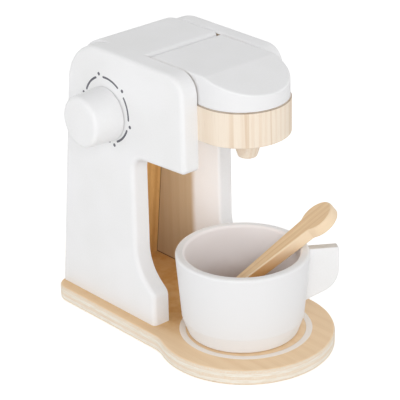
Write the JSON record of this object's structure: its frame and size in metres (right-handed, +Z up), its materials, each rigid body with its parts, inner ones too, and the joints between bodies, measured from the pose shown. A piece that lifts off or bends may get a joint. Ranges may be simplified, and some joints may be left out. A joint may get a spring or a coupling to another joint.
{
  "type": "toy coffee maker",
  "caption": "Wooden toy coffee maker with a hinged lid over a pod cavity, a turning dial knob, and a cup with a spoon on a round stand.",
  "frame": {"origin": "underside of the base board, on the mid-plane, half-way along the board", "axes": "+Z up; -Y towards the front, where the cup stands; -X towards the side with the knob"},
  "size_m": [0.1211, 0.1914, 0.1867],
  "materials": {
    "base_plywood": "satin",
    "panel_paint": "satin",
    "back_wood": "satin",
    "block_paint": "satin",
    "head_wood": "satin",
    "turned_wood": "satin",
    "dowel_wood": "matte",
    "zinc_steel": "satin",
    "lid_paint": "satin",
    "steel_rod": "satin",
    "knob_paint": "satin",
    "cup_paint": "satin",
    "spoon_wood": "satin"
  },
  "bodies": {
    "frame": {"base_board": "base_plywood", "left_side_panel": "panel_paint", "right_side_panel": "panel_paint", "back_panel": "back_wood", "rear_top_block": "block_paint", "brew_head": "head_wood", "nozzle": "turned_wood", "brew_head_dowels": "dowel_wood", "block_dowels": "dowel_wood", "back_panel_dowels": "dowel_wood", "base_screws": "zinc_steel"},
    "lid": {"lid": "lid_paint", "lid_hinge_rod": "steel_rod"},
    "knob": {"knob": "knob_paint", "knob_screw": "zinc_steel", "knob_washer": "zinc_steel"},
    "cup": {"cup": "cup_paint", "cup_handle": "cup_paint", "handle_pins": "dowel_wood"},
    "spoon": {"spoon": "spoon_wood"}
  },
  "joints": [
    {"name": "lid_hinge", "type": "hinge", "parent": "frame", "child": "lid", "pos_m": [0, 0.00965, 0.1807], "axis": [-1, 0, 0], "range_deg": [0, 92]},
    {"name": "knob_turn", "type": "hinge", "parent": "frame", "child": "knob", "pos_m": [-0.0426, 0.04015, 0.1454], "axis": [-1, 0, 0], "continuous": true},
    {"name": "cup_out", "type": "slide", "parent": "frame", "child": "cup", "axis": [0, -1, 0], "range_m": [0, 0.13]},
    {"name": "spoon_lift", "type": "slide", "parent": "cup", "child": "spoon", "axis": [0.7012, -0.3835, 0.601], "range_m": [0, 0.085]}
  ]
}
